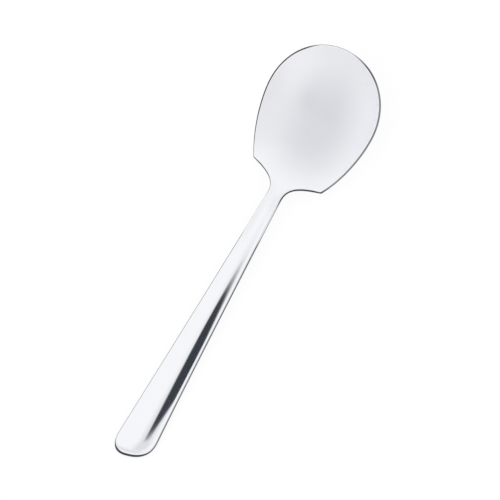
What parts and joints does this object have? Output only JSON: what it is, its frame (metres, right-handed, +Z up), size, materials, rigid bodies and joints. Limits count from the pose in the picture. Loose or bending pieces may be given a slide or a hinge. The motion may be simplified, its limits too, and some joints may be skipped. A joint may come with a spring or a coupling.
{
  "type": "serving spoon",
  "caption": "Stainless steel serving spoon with a wide shallow satin bowl, square shoulders, a narrow neck and a tapering crowned handle with a slanted blunt end.",
  "frame": {"origin": "middle of the bounding box on the plane the spoon rests on", "axes": "+X from the handle end to the bowl tip, +Y to the left seen from above, +Z up out of the hollow of the bowl"},
  "size_m": [0.2307, 0.0646, 0.0177],
  "materials": {
    "satin_steel": "satin",
    "polished_steel": "mirror polished"
  },
  "bodies": {
    "root": {"bowl": "satin_steel", "handle": "polished_steel"}
  },
  "joints": []
}
